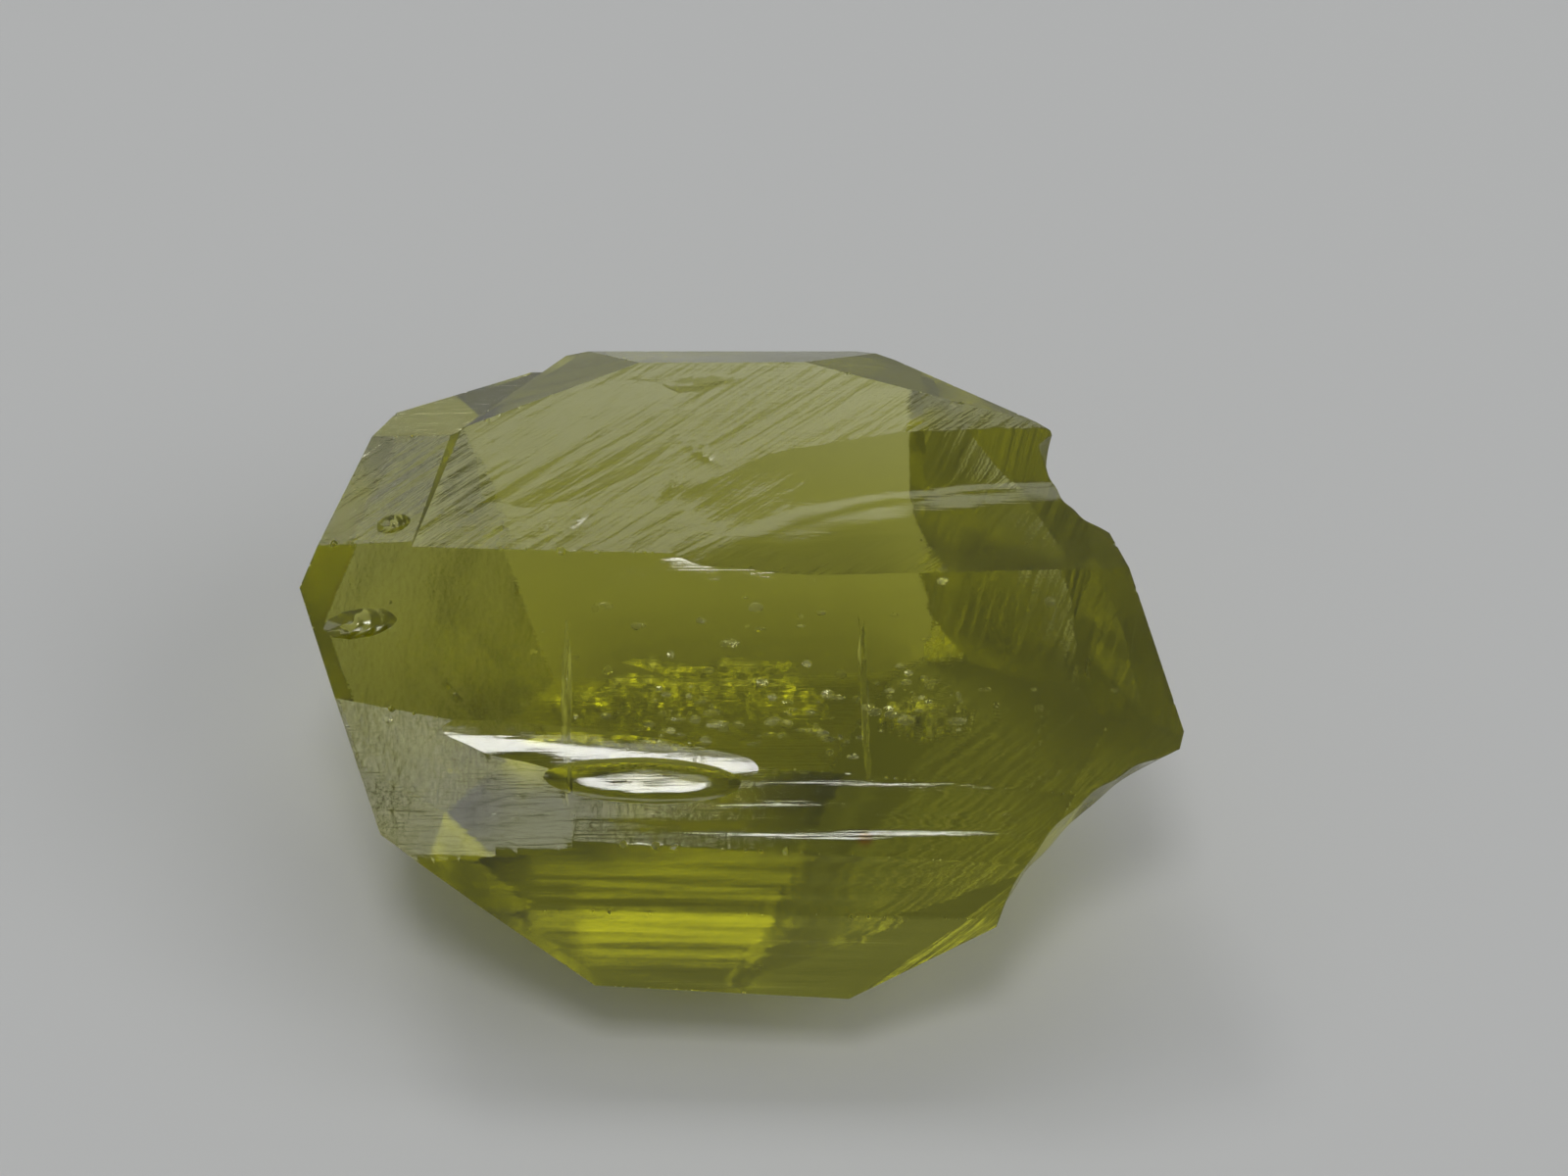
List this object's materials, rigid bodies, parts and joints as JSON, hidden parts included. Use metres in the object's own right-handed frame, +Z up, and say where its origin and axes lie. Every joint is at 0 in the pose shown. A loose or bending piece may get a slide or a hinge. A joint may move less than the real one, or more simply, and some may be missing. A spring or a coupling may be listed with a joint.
{
  "type": "brazilianite crystal",
  "caption": "Loose clear yellow-green crystal fragment with striated front faces, a stepped split top and a broken right end, lying on a flat underside.",
  "frame": {"origin": "on the surface the crystal lies on, under the middle of its bounding box", "axes": "+X along the crystal to its broken end, +Y to its back, +Z up"},
  "size_m": [0.0238, 0.018, 0.0114],
  "materials": {
    "crystal": "clear yellow-green crystal, glassy on its faces, with fine growth lines and shell-shaped breaks"
  },
  "bodies": {
    "root": {"crystal": "crystal"}
  },
  "joints": []
}
